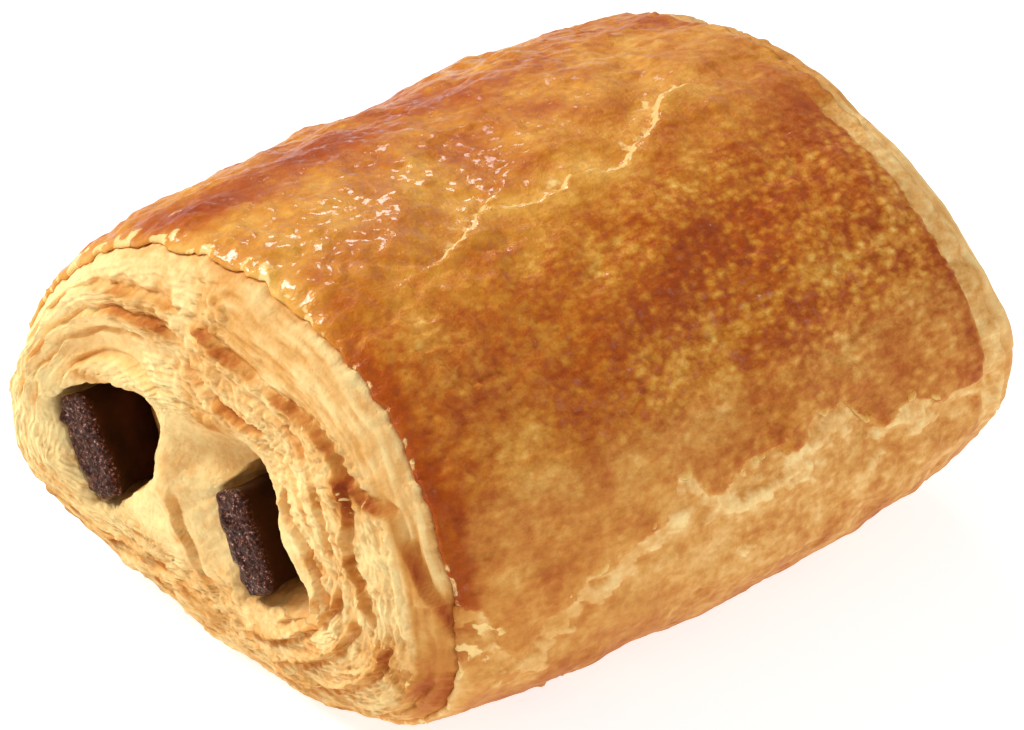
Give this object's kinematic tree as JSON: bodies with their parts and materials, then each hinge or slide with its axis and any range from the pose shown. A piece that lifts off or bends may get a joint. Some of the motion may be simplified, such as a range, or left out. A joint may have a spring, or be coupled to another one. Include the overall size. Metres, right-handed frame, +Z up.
{
  "type": "pain au chocolat",
  "caption": "Baked roll of laminated dough round sticks of dark chocolate, which show in the open mouths of its coiled ends.",
  "frame": {"origin": "on the flat foot that the roll rests on, below the middle of the roll", "axes": "+X along the roll, from its most visible end to the other; +Z up; -Y towards the long side that faces the viewer"},
  "size_m": [0.0936, 0.0838, 0.0534],
  "materials": {
    "pastry": null,
    "chocolate": null
  },
  "bodies": {
    "root": {"pastry": "pastry", "chocolate_stick_left": "chocolate", "chocolate_stick_right": "chocolate"}
  },
  "joints": []
}
